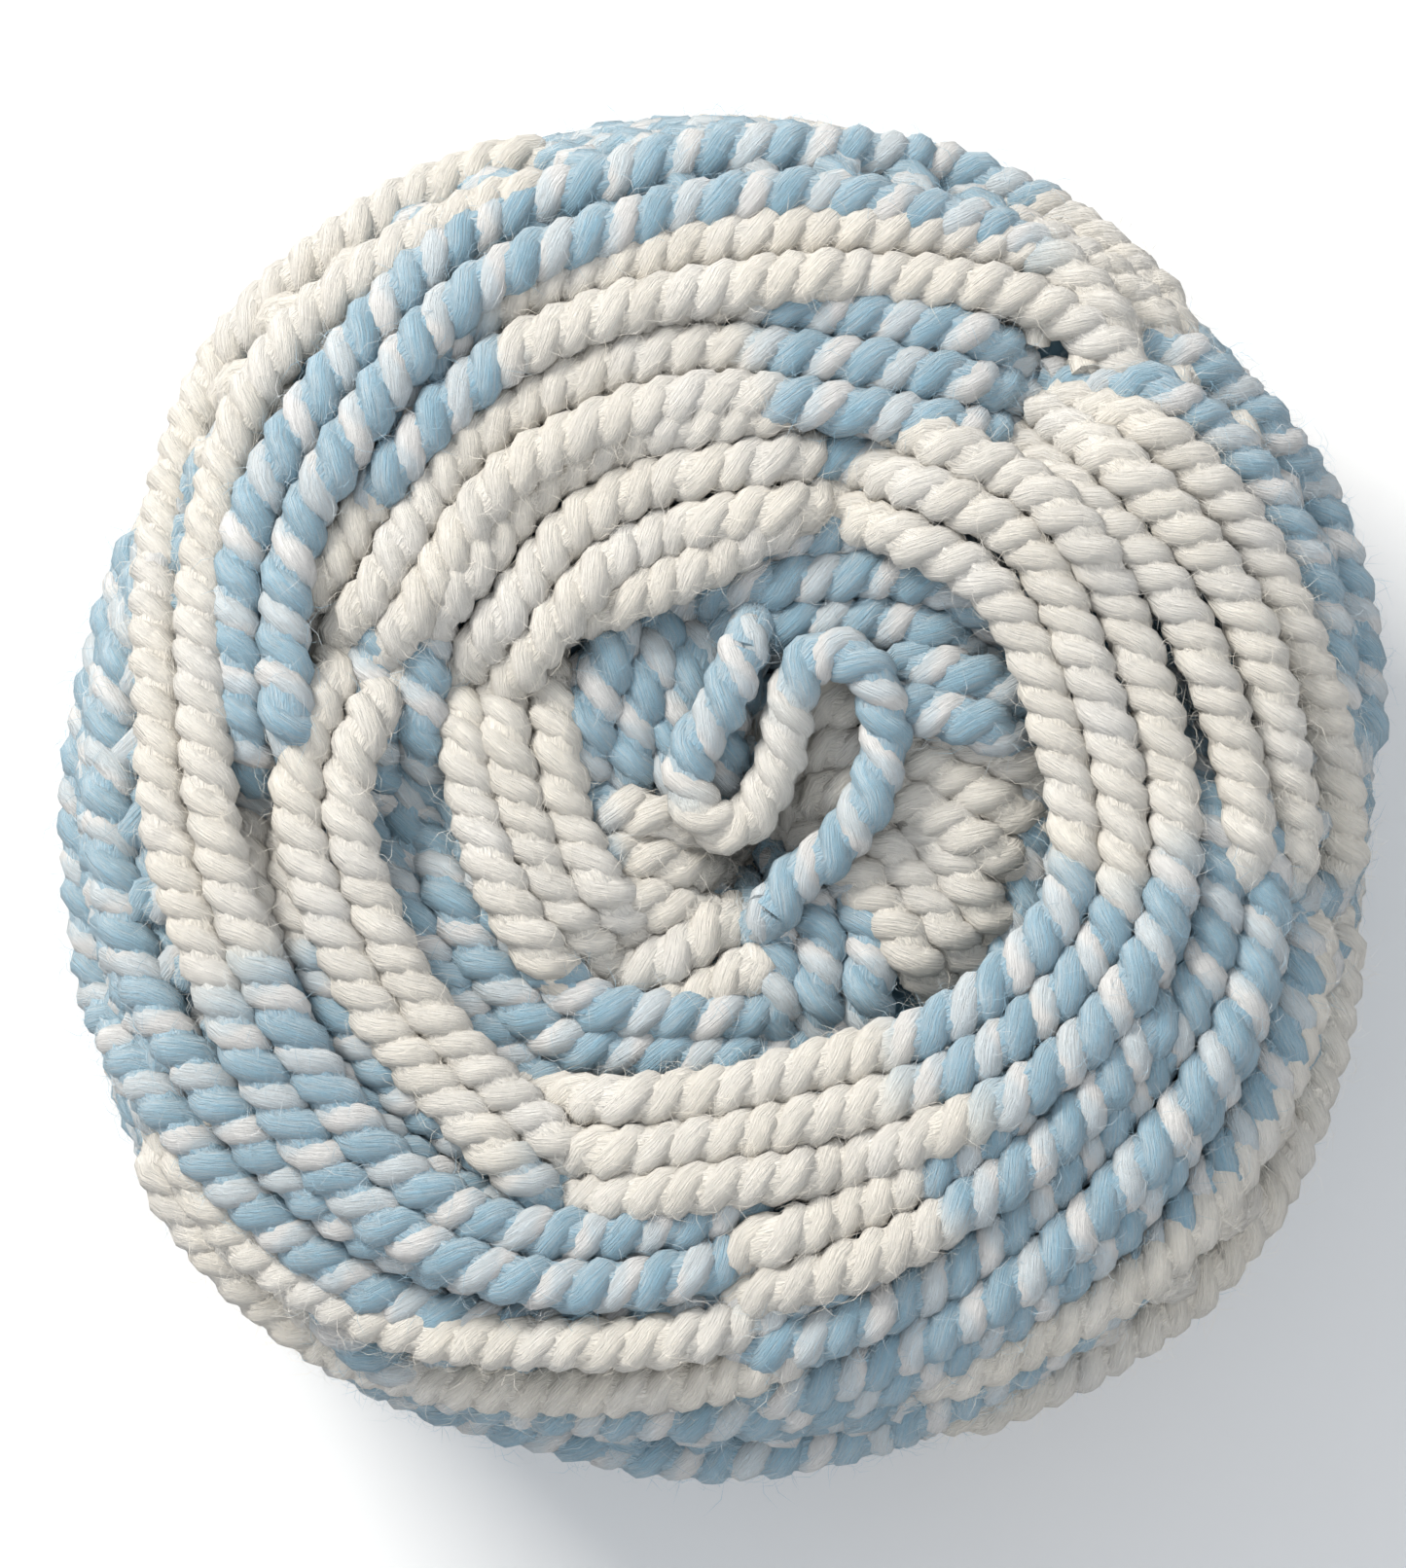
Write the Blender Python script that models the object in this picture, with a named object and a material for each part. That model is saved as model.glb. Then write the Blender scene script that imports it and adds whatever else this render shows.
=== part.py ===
"""A ball of thick two-ply blanket yarn, wound by machine and lying on one end.

The ball is one closed solid: a barrel with a rounded rim, a bowl and a small hole in its
upper end where the yarn pulls out, and raised bands where groups of parallel turns cross
the ends and the side.  The pulled end is a twisted strand of its own, looping once in the
bowl.  Lengths are written in millimetres and built in metres, +Z up.  The origin is on
the surface that the ball lies on, under its middle.
"""

import math

import bpy
import numpy as np
from mathutils import Vector
from mathutils.bvhtree import BVHTree

MM = 0.001

YARN = 5.8            # width of the yarn across both plies
PITCH = 5.3           # from one turn to the next inside a band
HEIGHT = 115.0        # from end to end of the ball
DOME = 2.5            # how far the ends fall away before the rim
CORNER = 20.0         # width of the rounded rim, seen from above
CORNER_DEPTH = 31.0   # height of the rounded rim
BULGE = 1.6           # how far the side swells at half height
FLAT = 27.0           # radius of the flat spot that the ball lies on
LAYER = 2.3           # height of one layer of turns above the next
LAYERS = 5
CROWN = 1.5           # how far the middle of a band stands above its edges
MAP_REACH = 80        # the bands are mapped this far to each side of the axis
MAP_BLUR = 3          # squares over which the map is evened out
AXIS = (-0.33, 0.39)  # puts the middle of the ball's box over the origin
GAP = 0.35            # clear space between the loose end and the ball

HOLE = (1.5, -8.2)    # where the yarn goes down into the ball
HOLE_WIDTH = 4.2
HOLE_DEPTH = 12.0
BOWL = (6.0, -6.0)    # middle of the bowl around the hole
BOWL_WIDTH = 22.0
BOWL_DEPTH = 6.0

SIDE_BANDS = 12       # slanting bands around the side
SIDE_TWIST = 1.1      # angle that a band travels down the side, in radians
SIDE_RELIEF = 1.9     # depth of the furrows between the bands
UNDER_BANDS = 9       # spiral bands on the underside
UNDER_TWIST = 0.8
UNDER_FADE = 17.0     # the furrows of the underside fade out this far from the flat spot
LEAN_START = 0.75     # angle on the rounded rim where the side bands begin to slant
LEAN_WIDTH = 0.7
LEAN = 0.21           # how fast they take up their slant
LIFT = 0.5            # clearance of the underside around the flat spot

COLUMNS = 108
TOP_ROWS = 21
CORNER_ROWS = 9
SIDE_ROWS = 9
UNDER_CORNER_ROWS = 8
UNDER_ROWS = 7

# Reach of the ball from its axis, every 15 degrees from +X towards +Y.
REACH = (73.0, 74.7, 75.6, 74.9, 75.4, 75.1, 75.4, 75.3, 75.9, 75.6, 72.5, 71.3,
         72.4, 73.5, 76.8, 78.0, 77.0, 75.6, 76.2, 76.1, 77.4, 78.8, 76.4, 73.4)

# Bands of parallel turns on the upper end, from the deepest to the outermost.
# name, turns side by side, layer, route of the band's middle line as (x, y)
BANDS = (
    ("south", 3, 1, ((11, -29), (11, -22), (11, -16), (9, -12), (6, -7))),
    ("south_e", 3, 1, ((29, -21), (25, -16), (21, -10), (16, -4), (11, 0))),
    ("east", 3, 1, ((38, -5), (33, -3), (26, 1), (19, 4), (11, 4), (4, 1))),
    ("north_c", 4, 1, ((-3, 20), (-5, 13), (-7, 6), (-7, -4))),
    ("west_c", 3, 1, ((-17, -7), (-10, -7), (-4, -9), (3, -10))),
    ("south_w", 2, 1, ((-13, -24), (-5, -21), (1, -18), (6, -14))),
    ("key", 3, 1, ((-33, -2), (-29, -13), (-24, -21), (-16, -28), (2, -30), (12, -29))),
    ("neck", 2, 2, ((-24, 31), (-34, 20), (-35, 5), (-34, -2))),
    ("west", 3, 2, ((-24, 17), (-22, -1), (-19, -10), (-15, -16), (-9, -22))),
    ("deep_n", 2, 2, ((37, 35), (17, 38), (-4, 38), (-13, 35))),
    ("north", 3, 2, ((-6, 20), (4, 22), (20, 23), (28, 20), (34, 14))),
    ("north_lo", 2, 2, ((15, 12), (22, 11), (29, 9), (35, 6))),
    ("lid", 1, 3, ((18, 33), (12, 32), (5, 28), (-9, 21), (-21, 17))),
    ("crown", 3, 3, ((17, 37), (-4, 34), (-14, 30), (-20, 24), (-31, 9))),
    ("veil", 3, 3, ((37, 42), (15, 46), (-6, 47), (-26, 38), (-38, 21), (-44, 12))),
    ("arc_in", 2, 3, ((54, 41), (36, 55), (15, 58), (-5, 56), (-25, 49), (-39, 34), (-42, 25))),
    ("low_w", 2, 3, ((-50, 1), (-48, -15), (-40, -30), (-26, -42), (-6, -44), (3, -42))),
    ("inner_w", 2, 4, ((-37, 17), (-43, 0), (-37, -20), (-23, -37), (-11, -47))),
    ("arc_out", 2, 4, ((52, 46), (34, 62), (11, 67), (-11, 64), (-31, 54), (-47, 31),
                       (-50, 13), (-47, -3))),
    ("rim_w", 2, 4, ((-59, 35), (-68, 12), (-69, -7), (-62, -28), (-43, -48), (-25, -55),
                     (-4, -54), (5, -50))),
    ("rim_nw", 2, 5, ((-11, 70), (-30, 64), (-48, 51), (-57, 33), (-59, 12), (-54, -16),
                      (-40, -40), (-24, -50), (-5, -50), (13, -42))),
    ("sash", 2, 5, ((-66, -33), (-56, -49), (-39, -60), (-18, -63), (1, -61), (17, -52))),
    ("hem", 2, 4, ((-52, -55), (-32, -67), (-6, -71), (17, -67), (39, -55), (54, -37),
                   (61, -18), (60, -7))),
    ("girth", 3, 4, ((-6, -63), (14, -58), (31, -48), (47, -30), (54, -13), (51, 7))),
    ("belt", 2, 5, ((-5, -55), (13, -49), (30, -40), (44, -25), (49, -16))),
    ("top_ne", 2, 4, ((24, 68), (43, 58), (57, 45))),
    ("rim_ne", 2, 4, ((40, 51), (56, 40), (67, 24), (70, 5), (69, -5))),
    ("rim_se", 2, 5, ((69, -7), (64, -31), (53, -50), (36, -62), (16, -71))),
    ("band", 3, 5, ((35, 42), (52, 26), (60, 9), (63, -10), (62, -18))),
    ("ring", 3, 5, ((13, 36), (33, 26), (42, 6), (43, -13), (30, -28), (10, -36), (-8, -39),
                    (-22, -39))),
)
DIVE = 11.0           # length over which the ends of a band go down between the others
DIVE_DEPTH = 4.6
EDGE = 2.0            # width over which the side of a band falls away
UNDER_LOW = 1.2       # layers under the bands in the bowl
UNDER_RISE = 2.2      # layers more towards the rim, from UNDER_START over UNDER_WIDTH
UNDER_START = 26.0
UNDER_WIDTH = 24.0

# The loose end: it comes out of the upper edge of the bowl, turns back beside the hole,
# loops once and lies down towards the hole.
LOOSE_ROUTE = ((2.6, 15.2), (0.4, 9.4), (-3.4, 2.8), (-2.2, -2.6), (1.8, -4.4), (5.0, -0.4),
               (7.0, 4.8), (7.8, 10.2), (10.9, 14.6), (15.6, 13.2), (17.9, 7.5), (16.8, 0.4),
               (13.2, -5.8), (8.6, -9.6), (5.6, -13.4))
LOOSE_STEP = 1.05
TWIST_PITCH = 7.6     # length of one full turn of the two plies
PLY_OFFSET = 1.25
SPAN = 5              # steps that the loose end spans from one high point to the next
RINGS = 4             # rings of spots at which it feels for the ball under it
SECTION_SIDES = 12


def smooth(x):
    """Ease from 0 to 1 as x goes from 0 to 1."""
    x = np.clip(x, 0.0, 1.0)
    return x * x * (3.0 - 2.0 * x)


def through(points, per_span):
    """Even curve through the points, as an array with per_span steps a span."""
    p = np.array(points, float)
    p = np.vstack([2 * p[0] - p[1], p, 2 * p[-1] - p[-2]])
    out = []
    for a, b, c, d in zip(p, p[1:], p[2:], p[3:]):
        for t in np.arange(per_span) / per_span:
            out.append(0.5 * (2 * b + (c - a) * t + (2 * a - 5 * b + 4 * c - d) * t ** 2
                              + (3 * b - a - 3 * c + d) * t ** 3))
    out.append(p[-2])
    return np.array(out)


def reach(angle):
    """Distance from the axis to the side of the ball in one direction."""
    turn = np.array([REACH[i % 24] for i in range(-1, 26)])
    place = (math.degrees(angle) % 360.0) / 15.0
    i = int(place)
    t = place - i
    a, b, c, d = turn[i:i + 4]
    return 0.5 * (2 * b + (c - a) * t + (2 * a - 5 * b + 4 * c - d) * t ** 2
                  + (3 * b - a - 3 * c + d) * t ** 3)


def height_map():
    """Height of the topmost band over the bottom layer, on a grid of 1 mm squares."""
    axis = np.arange(-MAP_REACH, MAP_REACH + 1.0)
    x, y = np.meshgrid(axis, axis)
    out = np.hypot(x - BOWL[0], y - BOWL[1])
    under = UNDER_LOW + UNDER_RISE * smooth((out - UNDER_START) / UNDER_WIDTH)
    heights = under * LAYER
    for name, turns, layer, route in BANDS:
        line = through(route, 8)
        step = np.linalg.norm(np.diff(line, axis=0), axis=1)
        along = np.concatenate([[0.0], np.cumsum(step)])
        ends = np.minimum(along, along[-1] - along)
        top = layer * LAYER - (1.0 - smooth(ends / DIVE)) * DIVE_DEPTH
        away = np.hypot(x[..., None] - line[:, 0], y[..., None] - line[:, 1])
        nearest = away.argmin(axis=2)
        d = np.take_along_axis(away, nearest[..., None], axis=2)[..., 0]
        half = turns * PITCH / 2
        crown = CROWN * (1.0 - np.clip(d / half, 0.0, 1.0) ** 2)
        edge = 1.0 - smooth((d - half) / EDGE + 0.25)
        heights = np.maximum(heights, (top[nearest] + crown) * edge)
    kernel = np.hanning(MAP_BLUR + 2)[1:-1]
    kernel /= kernel.sum()
    for across in (0, 1):
        heights = np.apply_along_axis(np.convolve, across, heights, kernel, mode="same")
    return heights


HEIGHTS = height_map()


def band_height(x, y):
    """Height of the bands over the bottom layer at one point, read from the map."""
    u = min(max(x + MAP_REACH, 0.0), 2 * MAP_REACH - 1.0)
    v = min(max(y + MAP_REACH, 0.0), 2 * MAP_REACH - 1.0)
    i, j = int(u), int(v)
    fx, fy = u - i, v - j
    near = HEIGHTS[j, i] * (1 - fx) + HEIGHTS[j, i + 1] * fx
    far = HEIGHTS[j + 1, i] * (1 - fx) + HEIGHTS[j + 1, i + 1] * fx
    return near * (1 - fy) + far * fy


def top_drop(x, y):
    """How far the upper end lies below its highest layer, bowl and hole included."""
    hole = HOLE_DEPTH * math.exp(-((x - HOLE[0]) ** 2 + (y - HOLE[1]) ** 2) / HOLE_WIDTH ** 2)
    bowl = BOWL_DEPTH * math.exp(-((x - BOWL[0]) ** 2 + (y - BOWL[1]) ** 2) / BOWL_WIDTH ** 2)
    return hole + bowl + LAYERS * LAYER - band_height(x, y)


def bands_across(count, angle):
    """Relief of evenly spaced bands: full on each band, less in the furrows between."""
    place = count * angle / math.tau
    f = place - math.floor(place)
    return 1.0 - (2.0 * f - 1.0) ** 4


def lean(a):
    """How far a line down the ball has turned round it at one angle of the rounded rim."""
    return LEAN * max(a - LEAN_START, 0.0) ** 2


def ball_rows(start):
    """Points of one line down the ball, slanting with the bands on its side."""
    points = []

    def add(angle, r, z):
        points.append((r * math.cos(angle), r * math.sin(angle), z))

    rim = reach(start) - BULGE
    inner = rim - CORNER
    for i in range(1, TOP_ROWS + 1):
        f = i / TOP_ROWS
        x = HOLE[0] * (1.0 - f) + inner * f * math.cos(start)
        y = HOLE[1] * (1.0 - f) + inner * f * math.sin(start)
        z = HEIGHT - DOME * (math.hypot(x, y) / inner) ** 2
        points.append((x, y, z - top_drop(x, y)))
    z_top = HEIGHT - DOME - CORNER_DEPTH
    z_low = CORNER_DEPTH
    side = SIDE_RELIEF * (1.0 - bands_across(SIDE_BANDS, start))
    under = SIDE_RELIEF * (1.0 - bands_across(UNDER_BANDS, start))
    for i in range(1, CORNER_ROWS + 1):
        a = math.pi / 2 * i / CORNER_ROWS
        angle = start + lean(a)
        inner = reach(angle) - BULGE - CORNER
        r = inner + CORNER * math.sin(a)
        z = z_top + CORNER_DEPTH * math.cos(a)
        blend = float(smooth((a - LEAN_START) / LEAN_WIDTH))
        drop = top_drop(r * math.cos(angle), r * math.sin(angle))
        sink = drop * (1.0 - blend) + side * blend
        add(angle, r - sink * math.sin(a), z - sink * math.cos(a))
    turned = lean(math.pi / 2)
    for i in range(1, SIDE_ROWS + 1):
        f = i / (SIDE_ROWS + 1)
        angle = start + turned + SIDE_TWIST * f
        swell = BULGE * math.sin(math.pi * f)
        add(angle, reach(angle) - BULGE + swell - side, z_top + (z_low - z_top) * f)
    turned += SIDE_TWIST
    for i in range(UNDER_CORNER_ROWS):
        f = i / UNDER_CORNER_ROWS
        a = math.pi / 2 * (1.0 - f)
        angle = start + turned + UNDER_TWIST / 2 * f
        inner = reach(angle) - BULGE - CORNER
        sink = side * (1.0 - f) + under * f
        r = inner + CORNER * math.sin(a) - sink * math.sin(a)
        z = CORNER_DEPTH * (1.0 - math.cos(a)) + sink * math.cos(a)
        add(angle, r, max(z, LIFT))
    turned += UNDER_TWIST / 2
    for i in range(UNDER_ROWS):
        f = i / (UNDER_ROWS - 1)
        angle = start + turned + UNDER_TWIST * f
        r = inner * (1.0 - f) + FLAT * f
        height = LIFT + under * float(smooth((r - FLAT) / UNDER_FADE))
        add(angle, r, height if i < UNDER_ROWS - 1 else 0.0)
    return points


def make_ball(material):
    """The wound ball as one closed solid."""
    verts = [(HOLE[0], HOLE[1], HEIGHT - top_drop(*HOLE))]
    columns = [ball_rows(math.tau * j / COLUMNS) for j in range(COLUMNS)]
    rows = len(columns[0])
    for i in range(rows):
        verts.extend(column[i] for column in columns)
    verts.append((0.0, 0.0, 0.0))
    faces = []
    for j in range(COLUMNS):
        k = (j + 1) % COLUMNS
        faces.append((0, 1 + j, 1 + k))
        for i in range(rows - 1):
            a, b = 1 + i * COLUMNS, 1 + (i + 1) * COLUMNS
            faces.append((a + j, b + j, b + k, a + k))
        last = 1 + (rows - 1) * COLUMNS
        faces.append((last + j, len(verts) - 1, last + k))
    return add_solid("ball", verts, faces, material)


def add_solid(name, verts, faces, material):
    """New object from points in millimetres."""
    mesh = bpy.data.meshes.new(name)
    placed = [((x + AXIS[0]) * MM, (y + AXIS[1]) * MM, z * MM) for x, y, z in verts]
    mesh.from_pydata(placed, [], faces)
    mesh.materials.append(material)
    mesh.shade_smooth()
    ob = bpy.data.objects.new(name, mesh)
    bpy.context.collection.objects.link(ob)
    return ob


def loose_line(ball):
    """Route of the loose end, resting just clear of the ball's own surface."""
    flat = through(LOOSE_ROUTE, 12)
    step = np.linalg.norm(np.diff(flat, axis=0), axis=1)
    along = np.concatenate([[0.0], np.cumsum(step)])
    count = int(round(along[-1] / LOOSE_STEP))
    even = np.linspace(0.0, along[-1], count + 1)
    x = np.interp(even, along, flat[:, 0])
    y = np.interp(even, along, flat[:, 1])
    mesh = ball.data
    tree = BVHTree.FromPolygons([v.co[:] for v in mesh.vertices],
                                [p.vertices[:] for p in mesh.polygons])
    radius = YARN / 2
    need = []
    for px, py in zip(x, y):
        best = 0.0
        for ring in range(RINGS + 1):
            d = radius * ring / RINGS
            spots = max(1, 6 * ring)
            for k in range(spots):
                turn = math.tau * k / spots
                start = Vector(((px + AXIS[0] + d * math.cos(turn)) * MM,
                                (py + AXIS[1] + d * math.sin(turn)) * MM, 2 * HEIGHT * MM))
                hit = tree.ray_cast(start, Vector((0, 0, -1)))[0]
                best = max(best, hit.z / MM + math.sqrt(radius ** 2 - d ** 2))
        need.append(best + GAP)
    need = np.array(need)
    tall = np.array([need[max(0, i - SPAN):i + SPAN + 1].max() for i in range(len(need))])
    kernel = np.hanning(2 * SPAN + 3)
    kernel /= kernel.sum()
    padded = np.pad(tall, SPAN + 1, mode="edge")
    z = np.maximum(np.convolve(padded, kernel, mode="valid"), need)
    return np.column_stack([x, y, z])


def make_loose_end(ball, material):
    """The pulled end: two plies twisted together, as one lobed tube with closed ends."""
    line = loose_line(ball)
    tangent = np.gradient(line, axis=0)
    tangent /= np.linalg.norm(tangent, axis=1)[:, None]
    side = np.cross(tangent, (0.0, 0.0, 1.0))
    side /= np.linalg.norm(side, axis=1)[:, None]
    up = np.cross(side, tangent)
    ply = YARN / 2 - PLY_OFFSET
    verts = []
    for n, centre in enumerate(line):
        turn = math.tau * n * LOOSE_STEP / TWIST_PITCH
        for k in range(SECTION_SIDES):
            a = math.tau * k / SECTION_SIDES
            reach_ply = PLY_OFFSET * abs(math.cos(a))
            lobe = reach_ply + math.sqrt(ply ** 2 - (PLY_OFFSET * math.sin(a)) ** 2)
            p = centre + lobe * (side[n] * math.cos(a + turn) + up[n] * math.sin(a + turn))
            verts.append(tuple(p))
    faces = []
    for n in range(len(line) - 1):
        a, b = n * SECTION_SIDES, (n + 1) * SECTION_SIDES
        for k in range(SECTION_SIDES):
            m = (k + 1) % SECTION_SIDES
            faces.append((a + k, b + k, b + m, a + m))
    first = len(verts)
    verts.append(tuple(line[0]))
    verts.append(tuple(line[-1]))
    last = (len(line) - 1) * SECTION_SIDES
    for k in range(SECTION_SIDES):
        m = (k + 1) % SECTION_SIDES
        faces.append((first, k, m))
        faces.append((first + 1, last + m, last + k))
    return add_solid("loose_end", verts, faces, material)


def yarn_material(name, colour):
    """Soft matt acrylic yarn."""
    material = bpy.data.materials.new(name)
    material.use_nodes = True
    shader = material.node_tree.nodes["Principled BSDF"]
    shader.inputs["Base Color"].default_value = (*colour, 1.0)
    shader.inputs["Roughness"].default_value = 0.95
    shader.inputs["Metallic"].default_value = 0.0
    return material


def main():
    for ob in list(bpy.data.objects):
        bpy.data.objects.remove(ob, do_unlink=True)
    ball = make_ball(yarn_material("wound yarn", (0.70, 0.74, 0.76)))
    make_loose_end(ball, yarn_material("loose yarn", (0.62, 0.72, 0.78)))


if __name__ == "__main__":
    main()
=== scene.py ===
"""A machine-wound ball of thick two-ply blanket yarn, seen from straight above.

Every strand is two plies twisted round each other along a guide line.  The guide lines of
the upper end follow one table of bands, each laid over the ones before it, and those of
the side and the underside follow the ball's own profile.  Tables and profile are in
millimetres and everything is built in metres.
"""

import math

import bpy
import numpy as np
from bpy.props import FloatProperty, FloatVectorProperty, IntProperty, PointerProperty
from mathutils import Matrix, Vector
from mathutils.bvhtree import BVHTree


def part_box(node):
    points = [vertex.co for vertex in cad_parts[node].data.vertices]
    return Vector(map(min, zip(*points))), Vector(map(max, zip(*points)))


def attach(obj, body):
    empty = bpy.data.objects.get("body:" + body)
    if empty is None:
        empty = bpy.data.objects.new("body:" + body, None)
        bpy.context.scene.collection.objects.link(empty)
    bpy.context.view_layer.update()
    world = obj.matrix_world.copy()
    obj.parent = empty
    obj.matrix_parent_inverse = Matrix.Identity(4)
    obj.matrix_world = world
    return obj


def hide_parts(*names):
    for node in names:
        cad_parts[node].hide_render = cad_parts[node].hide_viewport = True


bl_info = {
    "name": "Blanket Yarn Ball",
    "version": (1, 0, 0),
    "blender": (4, 5, 0),
    "location": "View3D > Sidebar > Yarn",
    "description": "Builds a wound ball of two-ply blanket yarn",
    "category": "Object",
}

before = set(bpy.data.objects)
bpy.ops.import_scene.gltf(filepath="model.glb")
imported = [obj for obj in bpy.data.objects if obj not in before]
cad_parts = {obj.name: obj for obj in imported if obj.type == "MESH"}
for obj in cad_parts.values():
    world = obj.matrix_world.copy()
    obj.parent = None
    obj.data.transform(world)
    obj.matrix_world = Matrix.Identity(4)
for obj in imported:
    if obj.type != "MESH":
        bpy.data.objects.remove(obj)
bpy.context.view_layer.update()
MIDDLE = (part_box("ball")[0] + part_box("ball")[1]) / 2

MM = 0.001

# Profile of the ball, the same as that of its solid.
HEIGHT = 115.0
DOME = 2.5
CORNER = 20.0
CORNER_DEPTH = 31.0
BULGE = 1.6
LAYER = 2.3
LAYERS = 5
CROWN = 1.5
AXIS = (-0.33, 0.39)
GAP = 0.35
HOLE = (1.5, -8.2)
HOLE_WIDTH = 4.2
HOLE_DEPTH = 12.0
BOWL = (6.0, -6.0)
BOWL_WIDTH = 22.0
BOWL_DEPTH = 6.0
SIDE_BANDS = 12
SIDE_TWIST = 1.1
SIDE_RELIEF = 1.9
UNDER_BANDS = 9
UNDER_TWIST = 0.8
DIVE = 12.0
SINK = 8.0            # depth to which the ends of the outer bands go down
SINK_LEAST = 2.8      # least depth for those of the inner bands
SINK_GAIN = 1.8       # more for each layer
DIVE_SHARE = 0.6      # most of half a strand's length that goes down
Z_TOP = HEIGHT - DOME - CORNER_DEPTH

# Reach of the ball from its axis, every 15 degrees from +X towards +Y.
REACH = (73.0, 74.7, 75.6, 74.9, 75.4, 75.1, 75.4, 75.3, 75.9, 75.6, 72.5, 71.3,
         72.4, 73.5, 76.8, 78.0, 77.0, 75.6, 76.2, 76.1, 77.4, 78.8, 76.4, 73.4)

# Bands of parallel strands on the upper end, from the deepest to the outermost.
# name, strands, spacing, layer, route of the band's middle line as (x, y)
BANDS = (
    ("south", 3, 5.1, 1, ((11, -29), (11, -22), (11, -16), (9, -12), (6, -7))),
    ("south_e", 3, 4.6, 1, ((29, -21), (25, -16), (21, -10), (16, -4), (11, 0))),
    ("east", 3, 4.7, 1, ((38, -5), (33, -3), (26, 1), (19, 4), (11, 4), (4, 1))),
    ("north_c", 4, 4.8, 1, ((-3, 20), (-5, 13), (-7, 6), (-7, -4))),
    ("west_c", 3, 4.5, 1, ((-17, -7), (-10, -7), (-4, -9), (3, -10))),
    ("south_w", 2, 5.1, 1, ((-13, -24), (-5, -21), (1, -18), (6, -14))),
    ("key", 3, 4.9, 1, ((-33, -2), (-29, -13), (-24, -21), (-16, -28), (2, -30), (12, -29))),
    ("neck", 2, 5.1, 2, ((-24, 31), (-34, 20), (-35, 5), (-34, -2))),
    ("west", 3, 4.7, 2, ((-24, 17), (-22, -1), (-19, -10), (-15, -16), (-9, -22))),
    ("deep_n", 2, 5.1, 2, ((37, 35), (17, 38), (-4, 38), (-13, 35))),
    ("north", 3, 4.9, 2, ((-6, 20), (4, 22), (20, 23), (28, 20), (34, 14))),
    ("north_lo", 2, 4.7, 2, ((15, 12), (22, 11), (29, 9), (35, 6))),
    ("lid", 1, 5.3, 3, ((18, 33), (12, 32), (5, 28), (-9, 21), (-21, 17))),
    ("crown", 3, 5.3, 3, ((17, 37), (-4, 34), (-14, 30), (-20, 24), (-31, 9))),
    ("veil", 3, 5.3, 3, ((37, 42), (15, 46), (-6, 47), (-26, 38), (-38, 21), (-44, 12))),
    ("arc_in", 2, 5.1, 3, ((54, 41), (36, 55), (15, 58), (-5, 56), (-25, 49), (-39, 34),
                           (-42, 25))),
    ("low_w", 2, 5.1, 3, ((-50, 1), (-48, -15), (-40, -30), (-26, -42), (-6, -44), (3, -42))),
    ("inner_w", 2, 5.1, 4, ((-37, 17), (-43, 0), (-37, -20), (-23, -37), (-11, -47))),
    ("arc_out", 2, 5.3, 4, ((52, 46), (34, 62), (11, 67), (-11, 64), (-31, 54), (-47, 31),
                            (-50, 13), (-47, -3))),
    ("rim_w", 2, 5.3, 4, ((-59, 35), (-68, 12), (-69, -7), (-62, -28), (-43, -48),
                          (-25, -55), (-4, -54), (5, -50))),
    ("rim_nw", 2, 5.3, 5, ((-11, 70), (-30, 64), (-48, 51), (-57, 33), (-59, 12), (-54, -16),
                           (-40, -40), (-24, -50), (-5, -50), (13, -42))),
    ("sash", 2, 5.3, 5, ((-66, -33), (-56, -49), (-39, -60), (-18, -63), (1, -61),
                         (17, -52))),
    ("hem", 2, 5.1, 4, ((-52, -55), (-32, -67), (-6, -71), (17, -67), (39, -55), (54, -37),
                        (61, -18), (60, -7))),
    ("girth", 3, 5.3, 4, ((-6, -63), (14, -58), (31, -48), (47, -30), (54, -13), (51, 7))),
    ("belt", 2, 5.3, 5, ((-5, -55), (13, -49), (30, -40), (44, -25), (49, -16))),
    ("top_ne", 2, 5.3, 4, ((24, 68), (43, 58), (57, 45))),
    ("rim_ne", 2, 5.3, 4, ((40, 51), (56, 40), (67, 24), (70, 5), (69, -5))),
    ("rim_se", 2, 5.3, 5, ((69, -7), (64, -31), (53, -50), (36, -62), (16, -71))),
    ("band", 3, 5.3, 5, ((35, 42), (52, 26), (60, 9), (63, -10), (62, -18))),
    ("ring", 3, 5.3, 5, ((13, 36), (33, 26), (42, 6), (43, -13), (30, -28), (10, -36),
                         (-8, -39), (-22, -39))),
)

# Where one ply turns from white to light blue: share of the band's length, from and to.
BLUE = {
    "south": (0.0, 1.0), "north_c": (0.0, 1.0), "west_c": (0.0, 0.3), "key": (0.0, 1.0),
    "neck": (0.0, 1.0), "deep_n": (0.0, 1.0), "north": (0.0, 1.0), "north_lo": (0.0, 1.0),
    "veil": (0.0, 0.38), "arc_in": (0.72, 1.0), "low_w": (0.2, 1.0), "inner_w": (0.85, 1.0),
    "arc_out": (0.12, 1.0), "rim_w": (0.0, 1.0), "rim_nw": (0.56, 1.0), "sash": (0.85, 1.0),
    "hem": (0.0, 1.0), "girth": (0.0, 1.0), "belt": (0.4, 1.0), "rim_ne": (0.0, 1.0),
    "band": (0.85, 1.0), "ring": (0.42, 0.68),
}

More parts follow.
